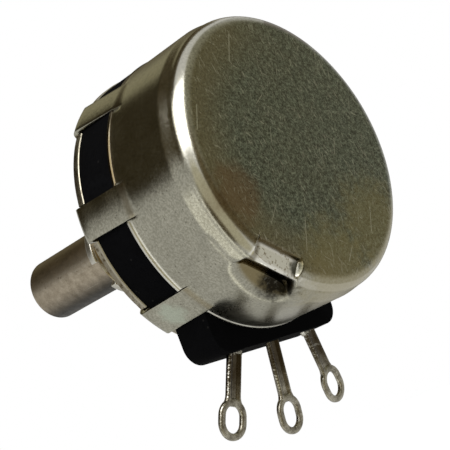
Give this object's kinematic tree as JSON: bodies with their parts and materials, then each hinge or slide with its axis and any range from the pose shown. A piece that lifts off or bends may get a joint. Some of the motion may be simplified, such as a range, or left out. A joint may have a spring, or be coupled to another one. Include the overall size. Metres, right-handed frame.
{
  "type": "rotary potentiometer",
  "caption": "Panel-mounting rotary potentiometer: moulded base in a drawn metal cover with folded tabs, threaded bushing, plain round shaft and eyelet terminals.",
  "frame": {"origin": "on the shaft axis, in the plane of the mounting face that meets the panel", "axes": "shaft tip towards -Y, rear cover towards +Y, terminals towards -Z"},
  "size_m": [0.0275, 0.037, 0.0368],
  "materials": {
    "cover_metal": "dull plated, tarnished and scratched",
    "plate_metal": "satin plated",
    "bushing_metal": "tarnished nickel plate",
    "shaft_steel": "satin turned",
    "ring_steel": "satin",
    "black_moulding": "semi-matt moulded",
    "carbon": "matt carbon",
    "plated_contact": "plated",
    "terminal_tin": "tarnished tin plate",
    "brown_moulding": "matt moulded",
    "spring_bronze": "satin rolled"
  },
  "bodies": {
    "housing": {"rear_cover": "cover_metal", "front_plate": "plate_metal", "bushing": "bushing_metal", "thrust_washer": "ring_steel", "base_moulding": "black_moulding", "resistance_track": "carbon", "end_contact_left": "plated_contact", "end_contact_right": "plated_contact", "collector_ring": "plated_contact", "terminal_left": "terminal_tin", "terminal_centre": "terminal_tin", "terminal_right": "terminal_tin"},
    "rotor": {"shaft": "shaft_steel", "shaft_retaining_ring": "ring_steel", "brush_carrier": "brown_moulding", "track_brush": "carbon", "collector_brush": "carbon", "brush_spring": "spring_bronze", "stop_plate": "ring_steel"}
  },
  "joints": [
    {"name": "shaft_turn", "type": "hinge", "parent": "housing", "child": "rotor", "pos_m": [0, 0, 0], "axis": [0, 1, 0], "range_deg": [-155, 155]}
  ]
}
